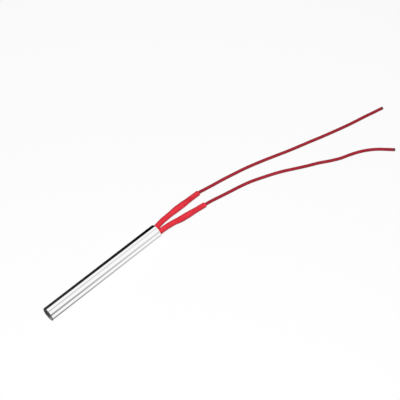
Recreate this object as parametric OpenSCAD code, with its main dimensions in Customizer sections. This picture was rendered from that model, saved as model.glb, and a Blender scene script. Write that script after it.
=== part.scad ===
// Cartridge heater: a polished steel tube, closed at one end by a welded disc, round a wound
// ceramic core. Two terminal pins leave the open end and are crimped to red insulated leads,
// each under a red sleeve.
// Millimetres. The tube lies along +X with the centre of its closed face at the origin, +Z up.
// The surface that the heater lies on is half a tube diameter below the axis.

/* [Sheath] */
// Outer diameter of the sheath tube
sheath_d = 9.5; // [9:0.1:12]
// Length from the closed face to the mouth
sheath_l = 90; // [60:1:200]
// Wall thickness of the sheath tube
sheath_wall = 0.7; // [0.5:0.05:0.9]
// Rounding of the outer edges at both ends
sheath_edge = 0.4; // [0.1:0.05:0.45]

/* [Closed end] */
// Thickness of the welded end disc
disc_t = 2; // [1:0.1:4]
// Bevel round the disc that the weld runs in
weld_bevel = 0.25; // [0.1:0.05:0.5]
// Thickness of the ceramic disc behind the end disc
end_insulator_t = 2; // [1:0.1:5]

/* [Core and winding] */
// Thickness of the compacted powder between the winding and the sheath
powder_t = 0.5; // [0.3:0.05:0.8]
// Diameter of the resistance wire
wire_d = 0.4; // [0.25:0.05:0.5]
// Distance between turns of the winding
winding_pitch = 2.4; // [1.8:0.1:6]
// Room round the wire, to the core and to the powder
wire_gap = 0.1; // [0.1:0.01:0.15]

/* [Lead end] */
// Length of the two-hole ceramic bush behind the core
bush_l = 8; // [4:0.5:15]
// Length of the potted seal
seal_l = 4; // [2:0.5:8]
// How far the sleeves reach into the mouth, up to the seal
sleeve_insert = 4; // [3:0.5:8]
// Distance between the two pins, and between the two sleeves
lead_pitch = 4; // [3.95:0.05:4.1]

/* [Pins and crimps] */
// Diameter of a terminal pin
pin_d = 1; // [0.6:0.05:1.1]
// Radial room of a pin in its holes
pin_room = 0.1; // [0.05:0.01:0.15]
// How deep the short pin reaches into the core
short_pin_depth = 12; // [5:1:30]
// Outer diameter of a crimp barrel
crimp_d = 3; // [2.2:0.1:3.1]
// Length of a crimp barrel
crimp_l = 8; // [5:0.5:12]
// Depth of the two grooves pressed into a barrel
crimp_groove = 0.25; // [0.05:0.05:0.3]

/* [Leads] */
// Outer diameter of a lead
lead_d = 2.3; // [1.2:0.1:2.4]
// Diameter of the stripped conductor
conductor_d = 0.9; // [0.5:0.05:1]
// Bare conductor between a crimp and the insulation
strip_l = 1; // [0.5:0.1:3]
// Outer diameter of a sleeve
sleeve_d = 3.9; // [3.5:0.1:3.9]
// Wall thickness of a sleeve
sleeve_wall = 0.5; // [0.3:0.05:0.55]
// How far a sleeve is stretched where it passes over its crimp
sleeve_stretch = 0.3; // [0.25:0.01:0.4]
// How far the stretched part of a sleeve runs on past each end of its crimp
stretch_run = 2.4; // [1:0.2:5]

/* [Fits] */
// Radial gap of the pieces that are swaged or welded into the sheath
seat_gap = 0.02; // [0.01:0.01:0.05]
// Gap between wires and parts that meet end to end
end_gap = 0.05; // [0.02:0.01:0.1]

/* [Hidden] */
$fn = 64;
// How far a cut runs past the faces it goes through
hole_over = 1;

// Radii
sheath_r = sheath_d / 2;
bore_r = sheath_r - sheath_wall;
seat_r = bore_r - seat_gap;
pin_r = pin_d / 2;
pin_hole_r = pin_r + pin_room;
wire_r = wire_d / 2;
fill_r = seat_r - powder_t;
winding_r = fill_r - wire_gap - wire_r;
core_r = winding_r - wire_r - wire_gap;
lead_r = lead_d / 2;
sleeve_r = sleeve_d / 2;

// Stations along the axis, from the closed face to the mouth
insulator_x = disc_t;
winding_x0 = insulator_x + end_insulator_t;
seal_x = sheath_l - sleeve_insert - seal_l;
bush_x = seal_x - bush_l;
wire_room = wire_d + 2 * wire_gap;
core_x = winding_x0 + wire_room;
core_l = bush_x - wire_room - core_x;

// The winding: half a turn at each end runs in to its pin without moving along the axis
tail_angle = 180;
coil_start_x = winding_x0 + wire_room / 2;
coil_travel = core_l + wire_room;
coil_turns = round(coil_travel / winding_pitch);
coil_angle = 360 * coil_turns + tail_angle;
coil_steps_per_turn = 14;
coil_sides = 5;
pin_touch_r = lead_pitch / 2 + pin_r + wire_r + seat_gap;

// Routes of the leads, chosen by hand. Each point is the distance past the mouth, the place
// across, and how far the lead has sunk from the axis (0) to the surface below (1).
route_a = [[8, 3.05, -0.05], [14, 3.4, -0.02], [20, 3.8, 0.08], [42.5, 4.85, 0.78], [48, 4.35, 0.92],
           [55, 3.25, 1], [63, 1.95, 1], [71, 0.35, 1], [80, -1.55, 1], [89, -3.9, 1],
           [98, -6.6, 1], [107, -9.5, 1], [116, -12.4, 1], [125, -15, 1], [134, -17.55, 1],
           [143, -20.2, 1], [152, -22.65, 1], [161, -24.95, 1], [170, -27, 1], [178, -28.6, 1],
           [187, -30.65, 1], [195, -32.4, 1]];
route_b = [[7, -2.15, 0.08], [13, -2.6, 0.22], [18.5, -3.6, 0.33], [39, -5.35, 0.78], [45, -5.95, 0.92],
           [52, -7.3, 1], [60, -9, 1], [68, -10.65, 1], [76, -12.75, 1], [84, -15.7, 1],
           [92, -18.9, 1], [99, -22.15, 1], [106, -25.95, 1], [114, -30.25, 1], [122, -34.25, 1],
           [129, -38.35, 1], [136, -41.95, 1], [144, -44.8, 1], [151, -47.8, 1], [157, -51.4, 1],
           [162, -55.4, 1], [166.5, -60, 1], [170.2, -63.9, 1]];
lead_drop = sheath_r - lead_r;
// Equal bands along a crimp barrel, by turns plain and pressed in
crimp_bands = 5;
// Straight run of a sleeve on each side of the mouth
mouth_run = 1;
// Places in the finished route: where the crimp starts, where the insulation starts, and
// where the sleeve ends
at_crimp = 5;
at_lead = 6;
at_sleeve_end = 7;
pin_sides = 12;
lead_sides = 8;
sleeve_sides = 16;
lead_steps = 2;
sleeve_steps = 3;
along_a = full_route(1, route_a);
along_b = full_route(-1, route_b);

function unit(v) = v / norm(v);
function smooth(t) = t * t * (3 - 2 * t);

// A route point in the heater's own frame
function placed(q) = [sheath_l + q[0], q[1], -q[2] * lead_drop];

// The whole route of one lead, from its sleeve's inner end to its free end
function full_route(side, list) =
    let (p = [for (q = list) placed(q)],
         along_crimp = unit(p[3] - p[2]),
         lead_start = p[2] + (crimp_l + strip_l) * along_crimp,
         across = side * lead_pitch / 2)
    [for (x = [-sleeve_insert, -mouth_run, mouth_run]) placed([x, across, 0]),
     p[0], p[1], p[2], lead_start, for (i = [3 : len(p) - 1]) p[i]];

// A smooth curve through the points p, between points i and i + 1
function before(p, i) = i > 0 ? p[i - 1] : 2 * p[0] - p[1];
function after(p, i) = i + 2 < len(p) ? p[i + 2] : 2 * p[i + 1] - p[i];
function bend(p, i, t) =
    let (m0 = (p[i + 1] - before(p, i)) / 2, m1 = (after(p, i) - p[i]) / 2)
    p[i] * (1 - smooth(t)) + p[i + 1] * smooth(t)
    + m0 * t * (1 - t) * (1 - t) - m1 * t * t * (1 - t);
function stretch_of(p, first, last, steps) =
    [for (i = [first : last - 1]) for (j = [0 : steps - 1]) bend(p, i, j / steps), p[last]];

// Rings of points across a path, and the faces that join them
function heading(p, i) = unit(p[min(i + 1, len(p) - 1)] - p[max(i - 1, 0)]);
function ring(centre, dir, r, sides) =
    let (across = unit(cross([0, 0, 1], dir)), up = cross(dir, across))
    [for (k = [0 : sides - 1]) let (a = 360 * (k + 0.5) / sides)
        centre + r * (cos(a) * across + sin(a) * up)];
function rings(p, radii, sides) =
    [for (i = [0 : len(p) - 1]) each ring(p[i], heading(p, i), radii[i], sides)];
function quad(a, b, c, d) = [[a, b, c], [a, c, d]];
function wall_faces(count, sides, base) =
    [for (i = [0 : count - 2]) for (k = [0 : sides - 1])
        let (a = base + i * sides, next = (k + 1) % sides)
        each quad(a + sides + k, a + sides + next, a + next, a + k)];
function flipped(faces) = [for (f = faces) [f[2], f[1], f[0]]];

// A solid round bar along a path
module bar(p, r, sides) {
    count = len(p);
    last = (count - 1) * sides;
    polyhedron(
        points = rings(p, [for (q = p) r], sides),
        faces = concat(
            wall_faces(count, sides, 0),
            [[for (k = [0 : sides - 1]) k]],
            [[for (k = [sides - 1 : -1 : 0]) last + k]]),
        convexity = 8);
}

// A round pipe along a path, with its outer radius at each ring
module pipe(p, radii, wall, sides) {
    count = len(p);
    inner = count * sides;
    last = (count - 1) * sides;
    polyhedron(
        points = concat(rings(p, radii, sides), rings(p, [for (r = radii) r - wall], sides)),
        faces = concat(
            wall_faces(count, sides, 0),
            flipped(wall_faces(count, sides, inner)),
            [for (k = [0 : sides - 1]) let (n = (k + 1) % sides)
                each quad(k, n, inner + n, inner + k)],
            [for (k = [0 : sides - 1]) let (n = (k + 1) % sides)
                each quad(last + n, last + k, inner + last + k, inner + last + n)]),
        convexity = 8);
}

// Children modelled along +Z are laid along the heater's axis, starting at x
module on_axis(x) {
    translate([x, 0, 0]) rotate([0, 90, 0]) children();
}

// Children modelled along +Z are laid from point p in direction dir
module pointed(p, dir) {
    translate(p) rotate([0, acos(dir[2]), atan2(dir[1], dir[0])]) children();
}

// Two holes for the pins, through a piece of length l modelled along +Z
module pin_holes(l) {
    for (side = [-1, 1])
        translate([0, side * lead_pitch / 2, -hole_over])
            cylinder(r = pin_hole_r, h = l + 2 * hole_over);
}

// Steel tube, with both outer edges rounded
module sheath() {
    color("silver") on_axis(0) rotate_extrude() difference() {
        translate([bore_r, 0]) square([sheath_wall, sheath_l]);
        translate([sheath_r, 0]) edge_waste();
        translate([sheath_r, sheath_l]) mirror([0, 1]) edge_waste();
    }
}

// What the rounding takes off a corner at the origin, with the metal on its upper left
module edge_waste() {
    difference() {
        translate([-sheath_edge, 0]) square(sheath_edge);
        translate([-sheath_edge, sheath_edge]) circle(sheath_edge);
    }
}

// Disc welded into the closed end, flush with the tube
module end_disc() {
    color("dimgray") on_axis(0) rotate_extrude()
        polygon([[0, 0], [seat_r - weld_bevel, 0], [seat_r, weld_bevel], [seat_r, disc_t], [0, disc_t]]);
}

// Ceramic disc between the end disc and the winding
module end_insulator() {
    color("ivory") on_axis(insulator_x) cylinder(r = seat_r, h = end_insulator_t);
}

// Ceramic core with two through holes
module core() {
    color("ivory") on_axis(core_x) difference() {
        cylinder(r = core_r, h = core_l);
        pin_holes(core_l);
    }
}

// Resistance wire: wound from the long pin at the closed end to the short pin at the other
function coil_point(a) =
    let (from_end = min(a, coil_angle - a, tail_angle) / tail_angle,
         r = pin_touch_r + (winding_r - pin_touch_r) * smooth(from_end),
         wound = min(max(a - tail_angle, 0), coil_angle - 2 * tail_angle),
         x = coil_start_x + coil_travel * wound / (coil_angle - 2 * tail_angle))
    [x, -r * cos(a), -r * sin(a)];
function coil_ring(a) =
    let (step = 1, dir = unit(coil_point(a + step) - coil_point(a - step)),
         side = unit(cross(dir, [0, -cos(a), -sin(a)])), out = cross(side, dir))
    [for (k = [0 : coil_sides - 1]) let (b = 360 * k / coil_sides)
        coil_point(a) + wire_r * (cos(b) * out + sin(b) * side)];
module resistance_coil() {
    count = ceil(coil_angle / 360 * coil_steps_per_turn) + 1;
    last = (count - 1) * coil_sides;
    color("slategray") polyhedron(
        points = [for (i = [0 : count - 1]) each coil_ring(coil_angle * i / (count - 1))],
        faces = concat(
            wall_faces(count, coil_sides, 0),
            [[for (k = [0 : coil_sides - 1]) k]],
            [[for (k = [coil_sides - 1 : -1 : 0]) last + k]]),
        convexity = 10);
}

// Compacted ceramic powder between the winding and the tube
module powder_fill() {
    color("whitesmoke") on_axis(winding_x0) rotate_extrude()
        translate([fill_r, 0]) square([seat_r - fill_r, bush_x - winding_x0]);
}

// Two-hole ceramic bush that closes the winding chamber
module bush() {
    color("ivory") on_axis(bush_x) difference() {
        cylinder(r = seat_r, h = bush_l);
        pin_holes(bush_l);
    }
}

// Potted seal behind the mouth
module seal() {
    color("lightgray") on_axis(seal_x) difference() {
        cylinder(r = seat_r, h = seal_l);
        pin_holes(seal_l);
    }
}

// A terminal pin: straight from x_start to the seal, then bent with its sleeve to the crimp
module terminal_pin(along, x_start) {
    start = [x_start, along[0][1], along[0][2]];
    crimp_dir = unit(along[at_lead] - along[at_crimp]);
    pin_end = along[at_crimp] + (crimp_l / 2 - end_gap) * crimp_dir;
    path = concat([start], stretch_of(along, 0, at_crimp, lead_steps), [pin_end]);
    color("gainsboro") bar(path, pin_r, pin_sides);
}
module terminal_pin_a() {
    terminal_pin(along_a, bush_x - wire_room - short_pin_depth);
}
module terminal_pin_b() {
    terminal_pin(along_b, winding_x0 + wire_gap);
}

// A crimp barrel with two pressed grooves, round the ends of pin and conductor
module crimp(along) {
    band_l = crimp_l / crimp_bands;
    bore = max(pin_r, conductor_d / 2) + pin_room;
    profile = [for (i = [0 : crimp_bands - 1])
        let (r = crimp_d / 2 - (i % 2) * crimp_groove)
        each [[r, i * band_l], [r, (i + 1) * band_l]]];
    color("lightsteelblue") pointed(along[at_crimp], unit(along[at_lead] - along[at_crimp]))
        rotate_extrude() polygon(concat([[bore, 0]], profile, [[bore, crimp_l]]));
}
module crimp_a() {
    crimp(along_a);
}
module crimp_b() {
    crimp(along_b);
}

// The stripped end of a lead, from the middle of its crimp to its insulation
module conductor(along) {
    dir = unit(along[at_lead] - along[at_crimp]);
    start = along[at_crimp] + (crimp_l / 2 + end_gap) * dir;
    color("gainsboro") pointed(start, dir)
        cylinder(d = conductor_d, h = crimp_l / 2 + strip_l - 2 * end_gap);
}
module conductor_a() {
    conductor(along_a);
}
module conductor_b() {
    conductor(along_b);
}

// A sleeve from the seal over the pin, the crimp and the start of the lead
module sleeve(along) {
    path = stretch_of(along, 0, at_sleeve_end, sleeve_steps);
    crimp_middle = along[at_crimp] + crimp_l / 2 * unit(along[at_lead] - along[at_crimp]);
    reach = crimp_l / 2 + stretch_run;
    radii = [for (q = path) sleeve_r + sleeve_stretch * exp(-pow(norm(q - crimp_middle) / reach, 4))];
    color("red") pipe(path, radii, sleeve_wall, sleeve_sides);
}
module sleeve_a() {
    sleeve(along_a);
}
module sleeve_b() {
    sleeve(along_b);
}

// An insulated lead, from its stripped end to its cut end
module lead(along) {
    color("crimson") bar(stretch_of(along, at_lead, len(along) - 1, lead_steps), lead_r, lead_sides);
}
module lead_a() {
    lead(along_a);
}
module lead_b() {
    lead(along_b);
}

sheath();
end_disc();
end_insulator();
core();
resistance_coil();
powder_fill();
bush();
seal();
terminal_pin_a();
terminal_pin_b();
crimp_a();
crimp_b();
conductor_a();
conductor_b();
sleeve_a();
sleeve_b();
lead_a();
lead_b();
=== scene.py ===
"""Looks of a cartridge heater: mirror-polished sheath, red sleeves and braided red leads."""
import math

import bmesh
import bpy
import numpy as np
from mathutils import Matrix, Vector


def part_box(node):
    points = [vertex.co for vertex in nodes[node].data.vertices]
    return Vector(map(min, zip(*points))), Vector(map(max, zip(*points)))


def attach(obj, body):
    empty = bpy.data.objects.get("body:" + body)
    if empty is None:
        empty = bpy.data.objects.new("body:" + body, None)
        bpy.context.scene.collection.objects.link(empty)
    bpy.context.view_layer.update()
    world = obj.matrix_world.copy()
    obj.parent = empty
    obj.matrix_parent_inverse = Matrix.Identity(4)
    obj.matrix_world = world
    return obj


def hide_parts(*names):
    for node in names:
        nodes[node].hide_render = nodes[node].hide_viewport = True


MM = 0.001

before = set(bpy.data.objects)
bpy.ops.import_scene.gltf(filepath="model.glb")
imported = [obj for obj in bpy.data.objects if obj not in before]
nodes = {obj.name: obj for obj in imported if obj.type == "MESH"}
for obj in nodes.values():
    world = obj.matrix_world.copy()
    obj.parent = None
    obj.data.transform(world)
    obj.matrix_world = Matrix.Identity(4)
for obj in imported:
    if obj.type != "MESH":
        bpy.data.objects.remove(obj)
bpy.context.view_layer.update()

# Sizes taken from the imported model
sheath_low, sheath_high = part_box("sheath")
SHEATH_R = -sheath_low.z
SHEATH_L = sheath_high.x
FLOOR_Z = sheath_low.z
_, disc_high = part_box("end_disc")
DISC_R = disc_high.z
DISC_T = disc_high.x

# Sizes of the sheath's wall and edges, and of the leads and what is on them, as in the source
SHEATH_WALL = 0.7 * MM
SHEATH_EDGE = 0.4 * MM
WELD_BEVEL = 0.25 * MM
LEAD_D = 2.3 * MM
LEAD_PITCH = 4 * MM
LEAD_DROP = SHEATH_R - LEAD_D / 2
SLEEVE_D = 3.9 * MM
SLEEVE_WALL = 0.5 * MM
SLEEVE_INSERT = 4 * MM
SLEEVE_STRETCH = 0.3 * MM
STRETCH_RUN = 2.4 * MM
CRIMP_L = 8 * MM
STRIP_L = 1 * MM
MOUTH_RUN = 1 * MM

# Details that only the looks have: turned rings on the disc, dipped tips and cut strands
DISC_GROOVES = 9
GROOVE_DEPTH = 0.02 * MM
TIP_L = 1.8 * MM
TIP_EDGE = 0.25 * MM
STRAND_D = 0.3 * MM
STRAND_BARE = 0.2 * MM
STRAND_TURNS = 0.12
OUTER_STRANDS = 6

# Braids: strands of each hand, length of one turn in millimetres, and how deep the strands stand
SLEEVE_STRANDS = 12
SLEEVE_TURN = 10.7
SLEEVE_RELIEF = 0.03 * MM
LEAD_STRANDS = 8
LEAD_TURN = 5.3
LEAD_RELIEF = 0.05 * MM

# Creases across the sleeves: share of the length, and depth
CREASES = {
    "a": [(0.33, 0.1 * MM), (0.5, 0.13 * MM), (0.72, 0.08 * MM), (0.95, 0.1 * MM)],
    "b": [(0.36, 0.06 * MM), (0.68, 0.14 * MM), (0.96, 0.08 * MM)],
}
CREASE_HALF_WIDTH = 0.45 * MM

# Routes of the leads: distance past the mouth and place across in millimetres, and how far the
# lead has sunk from the axis (0) to the surface below (1)
ROUTE_A = [
    (8, 3.05, -0.05), (14, 3.4, -0.02), (20, 3.8, 0.08), (42.5, 4.85, 0.78), (48, 4.35, 0.92),
    (55, 3.25, 1), (63, 1.95, 1), (71, 0.35, 1), (80, -1.55, 1), (89, -3.9, 1),
    (98, -6.6, 1), (107, -9.5, 1), (116, -12.4, 1), (125, -15, 1), (134, -17.55, 1),
    (143, -20.2, 1), (152, -22.65, 1), (161, -24.95, 1), (170, -27, 1), (178, -28.6, 1),
    (187, -30.65, 1), (195, -32.4, 1),
]
ROUTE_B = [
    (7, -2.15, 0.08), (13, -2.6, 0.22), (18.5, -3.6, 0.33), (39, -5.35, 0.78), (45, -5.95, 0.92),
    (52, -7.3, 1), (60, -9, 1), (68, -10.65, 1), (76, -12.75, 1), (84, -15.7, 1),
    (92, -18.9, 1), (99, -22.15, 1), (106, -25.95, 1), (114, -30.25, 1), (122, -34.25, 1),
    (129, -38.35, 1), (136, -41.95, 1), (144, -44.8, 1), (151, -47.8, 1), (157, -51.4, 1),
    (162, -55.4, 1), (166.5, -60, 1), (170.2, -63.9, 1),
]
# Places in a finished route: where the crimp starts, the insulation starts and the sleeve ends
AT_CRIMP = 5
AT_LEAD = 6
AT_SLEEVE_END = 7

# Fineness of the meshes: sides of round pieces, steps along soft ones, and when points are one
SHEATH_SIDES = 192
DISC_SIDES = 128
SLEEVE_SIDES = 60
LEAD_SIDES = 40
STRAND_SIDES = 12
EDGE_STEPS = 8
GROOVE_STEPS = 4
STRAND_STEPS = 8
CURVE_STEPS = 40
SLEEVE_STEP = 0.15 * MM
LEAD_STEP = 0.13 * MM
WELD_NEAR = 0.001 * MM
SHARP_EDGE = math.radians(50)

# The camera, worked out from the sheath's ends and widths in the photograph
CAMERA_AZIMUTH = math.radians(43.91)
CAMERA_ELEVATION = math.radians(53.68)
CAMERA_TARGET = Vector((130.5 * MM, 0.8 * MM, FLOOR_Z))
CAMERA_DISTANCE = 0.6
FOCAL_PIXELS = 882.3
IMAGE_PIXELS = 400
SENSOR_MM = 36

# The stage: what the floor throws back at the heater, what it shows, and the light
FLOOR_HALF = 4.0
FLOOR_BOUNCE = (0.1, 0.1, 0.1)
FLOOR_SEEN = (0.92, 0.92, 0.92)
FLOOR_GLOW = 0.88
WORLD_FILL = 0.06
KEY_PLACE = (-0.17, -0.27, 0.69)
KEY_SIZE = 0.4
KEY_WATTS = 6.8

# Cards that only the polish shows: how far those on the floor are lifted off it, and how far
# those round the sheath stand from its axis
CARD_LIFT = 0.1 * MM
CARD_DISTANCE = 20 * MM


def add_object(name, data):
    """A new object in the scene."""
    made = bpy.data.objects.new(name, data)
    bpy.context.scene.collection.objects.link(made)
    return made


def place_camera():
    """An upright camera that looks at the target from the photograph's angle."""
    flat = math.cos(CAMERA_ELEVATION)
    look = Vector((
        math.sin(CAMERA_AZIMUTH) * flat,
        math.cos(CAMERA_AZIMUTH) * flat,
        -math.sin(CAMERA_ELEVATION),
    ))
    data = bpy.data.cameras.new("camera")
    data.sensor_width = SENSOR_MM
    data.lens = FOCAL_PIXELS / IMAGE_PIXELS * SENSOR_MM
    camera = add_object("camera", data)
    camera.location = CAMERA_TARGET - CAMERA_DISTANCE * look
    camera.rotation_euler = look.to_track_quat("-Z", "Y").to_euler()
    bpy.context.scene.camera = camera


# Curves


def unit(v):
    return v / np.linalg.norm(v)


def placed(point):
    """A route point in the heater's own frame, in metres."""
    along, across, sunk = point
    return np.array([SHEATH_L + along * MM, across * MM, -sunk * LEAD_DROP])


def full_route(side, points):
    """The whole route of one lead, from its sleeve's inner end to its free end."""
    route = [placed(q) for q in points]
    lead_start = route[2] + (CRIMP_L + STRIP_L) * unit(route[3] - route[2])
    across = side * LEAD_PITCH / 2
    mouth = [
        np.array([SHEATH_L + x, across, 0.0]) for x in (-SLEEVE_INSERT, -MOUTH_RUN, MOUTH_RUN)
    ]
    return mouth + route[:3] + [lead_start] + route[3:]


def bend(points, i, t):
    """A smooth curve through the points, at share t between points i and i + 1."""
    here, there = points[i], points[i + 1]
    before = points[i - 1] if i > 0 else 2 * here - there
    after = points[i + 2] if i + 2 < len(points) else 2 * there - here
    ease = t * t * (3 - 2 * t)
    leave, arrive = (there - before) / 2, (after - here) / 2
    return (
        here * (1 - ease) + there * ease
        + leave * t * (1 - t) ** 2 - arrive * t * t * (1 - t)
    )


def stretch_of(points, first, last, step):
    """Points along the smooth curve from one route point to another, evenly spaced."""
    dense = [
        bend(points, i, j / CURVE_STEPS) for i in range(first, last) for j in range(CURVE_STEPS)
    ]
    dense = np.array(dense + [points[last]])
    along = np.concatenate([[0], np.cumsum(np.linalg.norm(np.diff(dense, axis=0), axis=1))])
    at = np.linspace(0, along[-1], round(along[-1] / step) + 1)
    return np.stack([np.interp(at, along, dense[:, k]) for k in range(3)], axis=1)


def length_of(path):
    return float(np.linalg.norm(np.diff(path, axis=0), axis=1).sum())


def distances_along(path):
    """How far along a path of even steps each of its points lies."""
    return np.linspace(0, length_of(path), len(path))


# Meshes


def skin(name, rings, closed=False):
    """A mesh over rings of points. Its UV map runs round each ring, and along in millimetres."""
    rows, sides, _ = rings.shape
    steps = np.linalg.norm(np.diff(rings[:, 0], axis=0), axis=1)
    along = np.concatenate([[0], np.cumsum(steps)]) / MM
    strips = rows if closed else rows - 1
    i, k = (a.ravel() for a in np.meshgrid(np.arange(strips), np.arange(sides), indexing="ij"))
    i_next, k_next = (i + 1) % rows, (k + 1) % sides
    faces = np.stack(
        [i * sides + k, i * sides + k_next, i_next * sides + k_next, i_next * sides + k], axis=1
    )
    turn = np.stack([k, k + 1, k + 1, k], axis=1) / sides
    run = np.stack([along[i], along[i], along[i_next], along[i_next]], axis=1)
    mesh = bpy.data.meshes.new(name)
    mesh.from_pydata(rings.reshape(-1, 3).tolist(), [], faces.tolist())
    uv = mesh.uv_layers.new(name="around_along")
    uv.data.foreach_set("uv", np.stack([turn, run], axis=2).ravel().astype(np.float32))
    weld = bmesh.new()
    weld.from_mesh(mesh)
    bmesh.ops.remove_doubles(weld, verts=weld.verts, dist=WELD_NEAR)
    bmesh.ops.recalc_face_normals(weld, faces=weld.faces)
    weld.to_mesh(mesh)
    weld.free()
    mesh.polygons.foreach_set("use_smooth", np.ones(len(mesh.polygons), dtype=bool))
    mesh.set_sharp_from_angle(angle=SHARP_EDGE)
    return add_object(name, mesh)


def join(name, pieces):
    """One object that holds the meshes of several."""
    whole = bmesh.new()
    for piece in pieces:
        whole.from_mesh(piece.data)
        bpy.data.objects.remove(piece)
    mesh = bpy.data.meshes.new(name)
    whole.to_mesh(mesh)
    whole.free()
    return add_object(name, mesh)


def lathe(profile, sides):
    """Rings of points round the heater's axis, from a profile of places along it and radii."""
    x, r = np.asarray(profile).T
    a = 2 * np.pi * np.arange(sides) / sides
    return np.stack(
        [
            np.repeat(x[:, None], sides, axis=1),
            r[:, None] * np.cos(a),
            r[:, None] * np.sin(a),
        ],
        axis=2,
    )


def rounded(cx, cr, radius, start, stop):
    """Points of a profile round an edge, between two angles in degrees."""
    return [
        (cx + radius * math.cos(a), cr + radius * math.sin(a))
        for a in np.radians(np.linspace(start, stop, EDGE_STEPS + 1))
    ]


def rings_along(path, radii):
    """Rings of points across a path; radii has a row for each point and a column for each side."""
    ahead = np.gradient(path, axis=0)
    ahead /= np.linalg.norm(ahead, axis=1)[:, None]
    across = np.cross([0, 0, 1], ahead)
    across /= np.linalg.norm(across, axis=1)[:, None]
    up = np.cross(ahead, across)
    sides = radii.shape[1]
    a = 2 * np.pi * np.arange(sides) / sides
    out = across[:, None] * np.cos(a)[None, :, None] + up[:, None] * np.sin(a)[None, :, None]
    return path[:, None] + radii[:, :, None] * out


def capped_rings(path, radii):
    """Rings across a path, with one more ring at each end that is drawn together to a point."""
    first, last = (np.tile(path[i], (1, radii.shape[1], 1)) for i in (0, -1))
    return np.concatenate([first, rings_along(path, radii), last])


def braid(along, sides, strands):
    """Height from 0 to 1 of a braid's strands, in a row for each place along, in turns."""
    flattening = 0.35
    along, around = np.meshgrid(along, np.arange(sides) / sides, indexing="ij")
    one = np.sin(np.pi * (strands * (around + along)))
    other = np.sin(np.pi * (strands * (around - along)))
    first_on_top = one * other > 0
    one, other = np.abs(one), np.abs(other)
    return np.where(first_on_top, one * other**flattening, one**flattening * other)


# Materials


def material(name, colour, metallic, roughness):
    """A new material, its node tree and its main shader."""
    made = bpy.data.materials.new(name)
    made.use_nodes = True
    made.diffuse_color = (*colour, 1)
    shader = made.node_tree.nodes["Principled BSDF"]
    shader.inputs["Base Color"].default_value = (*colour, 1)
    shader.inputs["Metallic"].default_value = metallic
    shader.inputs["Roughness"].default_value = roughness
    return made, made.node_tree, shader


def empty_tree(owner):
    """The node tree of a material or a world, with nothing in it."""
    owner.use_nodes = True
    owner.node_tree.nodes.clear()
    return owner.node_tree


def add_node(tree, kind, inputs=None, **properties):
    """A node with its properties set; an input that is a socket is linked, and else it is a value."""
    made = tree.nodes.new(kind)
    for key, value in properties.items():
        setattr(made, key, value)
    for key, value in (inputs or {}).items():
        if isinstance(value, bpy.types.NodeSocket):
            tree.links.new(value, made.inputs[key])
        else:
            made.inputs[key].default_value = value
    return made


def maths(tree, operation, *values):
    """The result of a Math node over values and sockets."""
    inputs = dict(enumerate(values))
    return add_node(tree, "ShaderNodeMath", inputs, operation=operation).outputs[0]


def map_range(tree, value, old, new, steps="LINEAR"):
    """A value moved from its old range, a pair, to a new one."""
    inputs = {"Value": value, "From Min": old[0], "From Max": old[1]}
    inputs.update({"To Min": new[0], "To Max": new[1]})
    return add_node(
        tree, "ShaderNodeMapRange", inputs, interpolation_type=steps
    ).outputs["Result"]


def ramp(tree, share, low, high):
    """A value that follows a share from 0.3 to 0.7, where noise mostly lies."""
    return map_range(tree, share, (0.3, 0.7), (low, high))


def noise(tree, place, scale, detail=3.0, stretch=(1, 1, 1)):
    """Smooth noise over a place, finer along the axes that are stretched."""
    scaled = add_node(tree, "ShaderNodeVectorMath", {0: place, 1: stretch}, operation="MULTIPLY")
    return add_node(
        tree, "ShaderNodeTexNoise", {"Vector": scaled.outputs[0], "Scale": scale, "Detail": detail}
    ).outputs["Fac"]


def fine_lines(tree, distance, scale, detail):
    """Noise that changes with one distance alone, as machining lines do."""
    return add_node(
        tree,
        "ShaderNodeTexNoise",
        {"W": distance, "Scale": scale, "Detail": detail},
        noise_dimensions="1D",
    ).outputs["Fac"]


def blend_colour(tree, share, low, high):
    """A colour between two, by a share that is a socket."""
    mix = add_node(tree, "ShaderNodeMix", data_type="RGBA")
    tree.links.new(share, mix.inputs["Factor"])
    for name, colour in (("A", low), ("B", high)):
        socket = next(s for s in mix.inputs if s.name == name and s.type == "RGBA")
        socket.default_value = (*colour, 1)
    return next(s for s in mix.outputs if s.type == "RGBA")


def bump(tree, shader, height, depth):
    """Small relief from a height from 0 to 1, with its depth in metres."""
    made = add_node(tree, "ShaderNodeBump", {"Height": height, "Distance": depth, "Strength": 1.0})
    tree.links.new(made.outputs["Normal"], shader.inputs["Normal"])


def object_place(tree):
    return add_node(tree, "ShaderNodeTexCoord").outputs["Object"]


def distance_in_x(tree, vector):
    return add_node(tree, "ShaderNodeSeparateXYZ", {0: vector}).outputs["X"]


def polished_steel():
    """Mirror-polished steel with faint smudges and grinding lines, dull where it was welded."""
    polish, weld_tint = (0.95, 0.95, 0.955), (0.19, 0.19, 0.195)
    weld_fades = (0.35 * MM, 0.5 * MM)
    weld_dullness = 0.35
    made, tree, shader = material("polished_steel", polish, 1.0, 0.06)
    place = object_place(tree)
    along = distance_in_x(tree, place)
    welded = map_range(tree, along, weld_fades, (1, 0))
    tree.links.new(blend_colour(tree, welded, polish, weld_tint), shader.inputs["Base Color"])
    smudged = ramp(tree, noise(tree, place, scale=90, detail=4, stretch=(0.4, 1, 1)), 0.02, 0.05)
    rough = maths(tree, "ADD", smudged, maths(tree, "MULTIPLY", welded, weld_dullness))
    tree.links.new(rough, shader.inputs["Roughness"])
    bump(tree, shader, fine_lines(tree, along, scale=4000, detail=3), 0.002 * MM)
    return made


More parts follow.
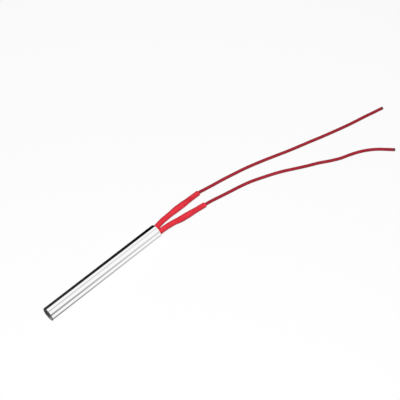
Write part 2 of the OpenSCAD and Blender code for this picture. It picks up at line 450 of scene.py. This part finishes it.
def dark_steel():
    """Turned steel with rings round the axis, darkened in patches by the weld's heat."""
    darkest, lightest = (0.09, 0.09, 0.093), (0.29, 0.287, 0.284)
    made, tree, shader = material("dark_steel", (0.08, 0.08, 0.082), 0.9, 0.36)
    place = object_place(tree)
    flat = add_node(tree, "ShaderNodeVectorMath", {0: place, 1: (0, 1, 1)}, operation="MULTIPLY")
    radius = add_node(tree, "ShaderNodeVectorMath", {0: flat.outputs[0]}, operation="LENGTH")
    ring = fine_lines(tree, radius.outputs["Value"], scale=9000, detail=2)
    patches = blend_colour(tree, noise(tree, place, scale=700), darkest, lightest)
    tree.links.new(patches, shader.inputs["Base Color"])
    tree.links.new(ramp(tree, ring, 0.3, 0.42), shader.inputs["Roughness"])
    bump(tree, shader, ring, 0.01 * MM)
    return made


def braided(name, dark, bright, strands, turn_mm, roughness, specular):
    """Coloured glass-fibre braid: a strand pattern from the UV map, with fine fibres on it; the gaps
    between the strands are darker as painted shade, and noise gives the braid an uneven tone.
    """
    made, tree, shader = material(name, bright, 0.0, roughness)
    shader.inputs["Specular IOR Level"].default_value = specular
    uv = add_node(tree, "ShaderNodeUVMap", uv_map="around_along").outputs["UV"]
    split = add_node(tree, "ShaderNodeSeparateXYZ", {0: uv})
    around = maths(tree, "MULTIPLY", split.outputs["X"], strands)
    along = maths(tree, "MULTIPLY", split.outputs["Y"], strands / turn_mm)
    waves = []
    for way in ("ADD", "SUBTRACT"):
        angle = maths(tree, "MULTIPLY", maths(tree, way, around, along), math.pi)
        waves.append(maths(tree, "ABSOLUTE", maths(tree, "SINE", angle)))
    raised = maths(tree, "MULTIPLY", *waves)
    place = object_place(tree)
    fibre = noise(tree, place, scale=2600, detail=2)
    # Painted shade: the gaps between the raised strands take the dark colour, and the larger noise
    # adds uneven tone.
    tone = maths(tree, "MULTIPLY_ADD", raised, fibre, noise(tree, place, scale=160))
    share = map_range(tree, tone, (0.3, 1.0), (0, 1))
    tree.links.new(blend_colour(tree, share, dark, bright), shader.inputs["Base Color"])
    rough = ramp(tree, fibre, roughness - 0.06, roughness + 0.06)
    tree.links.new(rough, shader.inputs["Roughness"])
    bump(tree, shader, tone, 0.012 * MM)
    return made


def plain_grain(name, low, high, metallic, roughness, scale):
    """A plain finish with fine grain, for the pieces inside and the ends of the leads."""
    made, tree, shader = material(name, high, metallic, roughness)
    grain = noise(tree, object_place(tree), scale)
    tree.links.new(blend_colour(tree, grain, low, high), shader.inputs["Base Color"])
    rough = ramp(tree, grain, roughness - 0.05, roughness + 0.05)
    tree.links.new(rough, shader.inputs["Roughness"])
    bump(tree, shader, grain, 0.02 * MM)
    return made


STEEL = polished_steel()
DARK_STEEL = dark_steel()
SLEEVE_RED = braided(
    "sleeve_red",
    dark=(0.6, 0.014, 0.026),
    bright=(0.94, 0.052, 0.078),
    strands=SLEEVE_STRANDS,
    turn_mm=SLEEVE_TURN,
    roughness=0.3,
    specular=0.15,
)
LEAD_RED = braided(
    "lead_red",
    dark=(0.3, 0.015, 0.027),
    bright=(0.47, 0.03, 0.05),
    strands=LEAD_STRANDS,
    turn_mm=LEAD_TURN,
    roughness=0.45,
    specular=0.1,
)
CERAMIC = plain_grain("ceramic", (0.78, 0.77, 0.71), (0.92, 0.91, 0.87), 0.0, 0.85, 1500)
POTTING = plain_grain("potting", (0.66, 0.65, 0.6), (0.82, 0.81, 0.78), 0.0, 0.6, 900)
NICKEL = plain_grain("nickel", (0.6, 0.58, 0.54), (0.75, 0.73, 0.69), 1.0, 0.3, 2500)
WIRE = plain_grain("resistance_wire", (0.28, 0.28, 0.3), (0.42, 0.42, 0.44), 1.0, 0.38, 2500)
DIPPED = plain_grain("dipped_end", (0.07, 0.01, 0.016), (0.15, 0.022, 0.034), 0.0, 0.4, 2500)
STRAND = plain_grain("cut_strands", (0.1, 0.085, 0.075), (0.24, 0.2, 0.18), 1.0, 0.45, 3000)

INNER_FINISH = {
    "end_insulator": CERAMIC,
    "core": CERAMIC,
    "powder_fill": CERAMIC,
    "bush": CERAMIC,
    "seal": POTTING,
    "resistance_coil": WIRE,
    "terminal_pin_a": NICKEL,
    "terminal_pin_b": NICKEL,
    "crimp_a": NICKEL,
    "crimp_b": NICKEL,
    "conductor_a": NICKEL,
    "conductor_b": NICKEL,
}


# The pieces


def set_finish(piece, finish):
    piece.data.materials.clear()
    piece.data.materials.append(finish)


def finish_piece(piece, finish, slot, *stood_for):
    """A piece gets its finish, rides on the heater and stands for CAD nodes."""
    set_finish(piece, finish)
    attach(piece, "root")
    if stood_for:
        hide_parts(*stood_for)
    return piece


def make_sheath():
    """The tube, with rounded outer edges and an open bore."""
    bore = SHEATH_R - SHEATH_WALL
    edge_r = SHEATH_R - SHEATH_EDGE
    profile = [(0, bore)]
    profile += rounded(SHEATH_EDGE, edge_r, SHEATH_EDGE, 180, 90)
    profile += rounded(SHEATH_L - SHEATH_EDGE, edge_r, SHEATH_EDGE, 90, 0)
    profile += [(SHEATH_L, bore)]
    tube = skin("sheath_tube", lathe(profile, SHEATH_SIDES), closed=True)
    finish_piece(tube, STEEL, "sheath_steel", "sheath")


def make_end_disc():
    """The welded disc, with turned rings on its face."""
    face_r = DISC_R - WELD_BEVEL
    steps = DISC_GROOVES * GROOVE_STEPS
    profile = []
    for i in range(steps + 1):
        share = i / steps
        sunk = GROOVE_DEPTH * (0.5 - 0.5 * math.cos(2 * math.pi * DISC_GROOVES * share))
        profile.append((sunk, face_r * share))
    profile += [(WELD_BEVEL, DISC_R), (DISC_T, DISC_R), (DISC_T, 0)]
    disc = skin("turned_end_disc", lathe(profile, DISC_SIDES))
    finish_piece(disc, DARK_STEEL, "end_disc_steel", "end_disc")


def make_sleeve(side, route):
    """A soft sleeve over pin, crimp and lead, swollen round the crimp, with open ends."""
    path = stretch_of(route, 0, AT_SLEEVE_END, SLEEVE_STEP)
    ahead = unit(route[AT_LEAD] - route[AT_CRIMP])
    crimp_middle = route[AT_CRIMP] + CRIMP_L / 2 * ahead
    reach = CRIMP_L / 2 + STRETCH_RUN
    away = np.linalg.norm(path - crimp_middle, axis=1)
    radius = SLEEVE_D / 2 + SLEEVE_STRETCH * np.exp(-((away / reach) ** 4))
    along = distances_along(path)
    turns = along / (SLEEVE_TURN * MM)
    relief = SLEEVE_RELIEF * (braid(turns, SLEEVE_SIDES, SLEEVE_STRANDS) - 1)
    upward = np.maximum(np.sin(2 * np.pi * np.arange(SLEEVE_SIDES) / SLEEVE_SIDES), 0)
    for share, depth in CREASES[side]:
        near = np.exp(-(((along - share * along[-1]) / CREASE_HALF_WIDTH) ** 2))
        relief -= depth * near[:, None] * upward
    outer = radius[:, None] + relief
    inner = np.repeat((radius - SLEEVE_WALL)[:, None], SLEEVE_SIDES, axis=1)
    rings = np.concatenate([rings_along(path, outer), rings_along(path, inner)[::-1]])
    name = "sleeve_" + side
    piece = skin("red_" + name, rings, closed=True)
    return finish_piece(piece, SLEEVE_RED, "sleeve_red", name)


def make_tip(side, path):
    """The dark varnish that binds the braid's cut end, with a rounded edge."""
    left = length_of(path) - distances_along(path)
    rounding = np.clip(1 - left / TIP_EDGE, 0, 1)
    radius = LEAD_D / 2 - TIP_EDGE * (1 - np.sqrt(1 - rounding**2))
    radii = np.repeat(radius[:, None], LEAD_SIDES, axis=1)
    piece = skin("dipped_tip_" + side, capped_rings(path, radii))
    return finish_piece(piece, DIPPED, "lead_red")


def make_strands(side, start, end):
    """The cut strands of the conductor, laid round one in the middle, in one bundle."""
    ahead = unit(end - start)
    across = unit(np.cross([0, 0, 1], ahead))
    up = np.cross(ahead, across)
    share = np.linspace(0, 1, STRAND_STEPS + 1)
    radii = np.full((len(share), STRAND_SIDES), STRAND_D / 2)
    middle = start + share[:, None] * (end - start)
    wires = []
    for k in range(OUTER_STRANDS + 1):
        offset = STRAND_D if k else 0
        angle = 2 * np.pi * (k / OUTER_STRANDS + STRAND_TURNS * share)[:, None]
        path = middle + offset * (np.cos(angle) * across + np.sin(angle) * up)
        wires.append(skin("strand", capped_rings(path, radii)))
    return finish_piece(join("cut_strands_" + side, wires), STRAND, "nickel")


def make_lead(side, route):
    """A braided lead from its stripped end to its dipped end, where its cut strands show."""
    whole = stretch_of(route, AT_LEAD, len(route) - 1, LEAD_STEP)
    to_cut = np.linalg.norm(whole - whole[-1], axis=1)
    path = whole[to_cut >= TIP_L - TIP_EDGE]
    turns = distances_along(path) / (LEAD_TURN * MM)
    radii = LEAD_D / 2 + LEAD_RELIEF * (braid(turns, LEAD_SIDES, LEAD_STRANDS) - 1)
    name = "lead_" + side
    piece = skin("red_" + name, capped_rings(path, radii))
    finish_piece(piece, LEAD_RED, "lead_red", name)
    tip_path = whole[(to_cut <= TIP_L) & (to_cut >= STRAND_BARE)]
    tip = make_tip(side, tip_path)
    strands = make_strands(side, tip_path[-1] - TIP_EDGE * unit(whole[-1] - whole[-2]), whole[-1])


# The stage


def shown_rays(tree):
    """1 for a ray that the picture shows directly, in polish or through glass, and else 0."""
    ray = add_node(tree, "ShaderNodeLightPath")
    shown = ray.outputs["Is Camera Ray"]
    for other in ("Is Glossy Ray", "Is Transmission Ray"):
        shown = maths(tree, "MAXIMUM", shown, ray.outputs[other])
    return shown


def make_floor():
    """A white floor that keeps a soft shadow."""
    corners = [(-1, -1), (1, -1), (1, 1), (-1, 1)]
    mesh = bpy.data.meshes.new("floor")
    mesh.from_pydata(
        [(FLOOR_HALF * x, FLOOR_HALF * y, FLOOR_Z) for x, y in corners], [], [(0, 1, 2, 3)]
    )
    made = bpy.data.materials.new("white_floor")
    tree = empty_tree(made)
    shown = shown_rays(tree)
    tone = blend_colour(tree, shown, FLOOR_BOUNCE, FLOOR_SEEN)
    matte = add_node(tree, "ShaderNodeBsdfDiffuse", {"Color": tone})
    glow = add_node(tree, "ShaderNodeEmission", {"Color": (1, 1, 1, 1), "Strength": 1.0})
    both = add_node(
        tree,
        "ShaderNodeMixShader",
        {
            0: maths(tree, "MULTIPLY", shown, FLOOR_GLOW),
            1: matte.outputs[0],
            2: glow.outputs[0],
        },
    )
    add_node(tree, "ShaderNodeOutputMaterial", {"Surface": both.outputs[0]})
    floor = add_object("floor", mesh)
    set_finish(floor, made)


def light_world():
    """White where it is seen or mirrored, and a plain fill light for everything else."""
    world = bpy.data.worlds.new("studio")
    tree = empty_tree(world)
    strength = map_range(tree, shown_rays(tree), (0, 1), (WORLD_FILL, 1))
    white = add_node(
        tree, "ShaderNodeBackground", {"Color": (1, 1, 1, 1), "Strength": strength}
    )
    add_node(tree, "ShaderNodeOutputWorld", {"Surface": white.outputs[0]})
    bpy.context.scene.world = world


def key_light():
    """A square soft light that shines at the heater and doesn't show in its polish."""
    data = bpy.data.lights.new("key", "AREA")
    data.shape = "SQUARE"
    data.size = KEY_SIZE
    data.energy = KEY_WATTS
    lamp = add_object("key", data)
    lamp.location = KEY_PLACE
    aim = Vector((SHEATH_L, 0, FLOOR_Z)) - lamp.location
    lamp.rotation_euler = aim.to_track_quat("-Z", "Y").to_euler()
    lamp.visible_glossy = False


def mirror_card(name, reach, near_edges, far_edges, shades, soft):
    """A studio card beside the sheath that shows only in reflections.

    reach holds where it starts and ends along X. At each of these two ends its edges lie at
    two places (y, z). Its shade turns from one to the other between the sheath's two ends.
    soft holds the shares of its width over which these two edges fade to white.
    """
    mesh = bpy.data.meshes.new(name)
    points = [(reach[0], *near_edges[0]), (reach[1], *far_edges[0])]
    points += [(reach[1], *far_edges[1]), (reach[0], *near_edges[1])]
    mesh.from_pydata(points, [], [(0, 1, 2, 3)])
    uv = mesh.uv_layers.new(name="across")
    uv.data.foreach_set("uv", [0, 0, 0, 1, 1, 1, 1, 0])
    made = bpy.data.materials.new(name)
    tree = empty_tree(made)
    tone = map_range(tree, distance_in_x(tree, object_place(tree)), (0, SHEATH_L), shades)
    across = distance_in_x(tree, add_node(tree, "ShaderNodeUVMap", uv_map="across").outputs["UV"])
    for edge, inner in ((0, soft[0]), (1, 1 - soft[1])):
        if inner != edge:
            tone = map_range(tree, across, (edge, inner), (1, tone), steps="SMOOTHSTEP")
    glow = add_node(tree, "ShaderNodeEmission", {"Color": (1, 1, 1, 1), "Strength": tone})
    add_node(tree, "ShaderNodeOutputMaterial", {"Surface": glow.outputs[0]})
    card = add_object(name, mesh)
    set_finish(card, made)
    card.visible_camera = False
    card.visible_diffuse = False
    card.visible_shadow = False
    card.visible_transmission = False


def dark_cards():
    """Dark cards: one along the sheath's far side with its foot on the floor, one on the floor before
    the closed end, and a painted contact shadow on the floor under the sheath.
    """
    reach = (-60 * MM, 130 * MM)
    before_sheath = (-20 * MM, -0.5 * MM)
    under_sheath = (0, SHEATH_L + 4 * MM)
    y, tops, foot_y = 14 * MM, (14.6 * MM, 17.9 * MM), 7 * MM
    near_floor = FLOOR_Z + CARD_LIFT
    black, dark = (0.03, 0.005), (0.1, 0.1)
    upright = [[(y, FLOOR_Z), (y, top)] for top in tops]
    foot = [(foot_y, near_floor), (y, near_floor)]
    end = [(0, near_floor), (foot_y, near_floor)]
    under = [(-3 * MM, near_floor), (5.5 * MM, near_floor)]
    mirror_card("dark_card", reach, *upright, black, (0, 0.12))
    mirror_card("dark_card_foot", reach, foot, foot, black, (0.3, 0))
    mirror_card("dark_card_end", before_sheath, end, end, dark, (0, 0))
    # Painted shadow: a dark card on the floor under the sheath stands for its contact shadow and
    # shows only in the polish.
    mirror_card("painted_contact_shadow", under_sheath, under, under, dark, (0.35, 0.4))


def grey_lines():
    """Cards for the fine grey lines along the sheath: above it and in front, and low in front a grey
    card on the floor that is a painted shadow of the sheath.
    """
    reach = (-60 * MM, 120 * MM)
    for name, near_angles, far_angles, shades in (
        ("grey_line_above", (81.5, 108), (74.5, 99.5), (0.62, 0.76)),
        ("grey_line_front", (128.5, 166), (139.5, 171.5), (0.3, 0.64)),
    ):
        edges = [
            [(CARD_DISTANCE * math.cos(a), CARD_DISTANCE * math.sin(a)) for a in np.radians(angles)]
            for angles in (near_angles, far_angles)
        ]
        mirror_card(name, reach, *edges, shades, (0.35, 0.35))
    # Painted shadow: a grey card on the floor in front of the sheath stands for its shadow there and
    # shows only in the polish.
    low = [
        [(y * MM, FLOOR_Z + CARD_LIFT) for y in pair] for pair in ((-14, -5), (-12.6, -5.6))
    ]
    mirror_card("painted_floor_shadow_low", reach, *low, (0.24, 0.54), (0.2, 0.2))


place_camera()
make_sheath()
make_end_disc()
for side, sign, points in (("a", 1, ROUTE_A), ("b", -1, ROUTE_B)):
    route = full_route(sign, points)
    sleeve = make_sleeve(side, route)
    make_lead(side, route)
for name, finish in INNER_FINISH.items():
    set_finish(nodes[name], finish)

make_floor()
light_world()
key_light()
dark_cards()
grey_lines()

bpy.context.scene.view_settings.view_transform = "Standard"
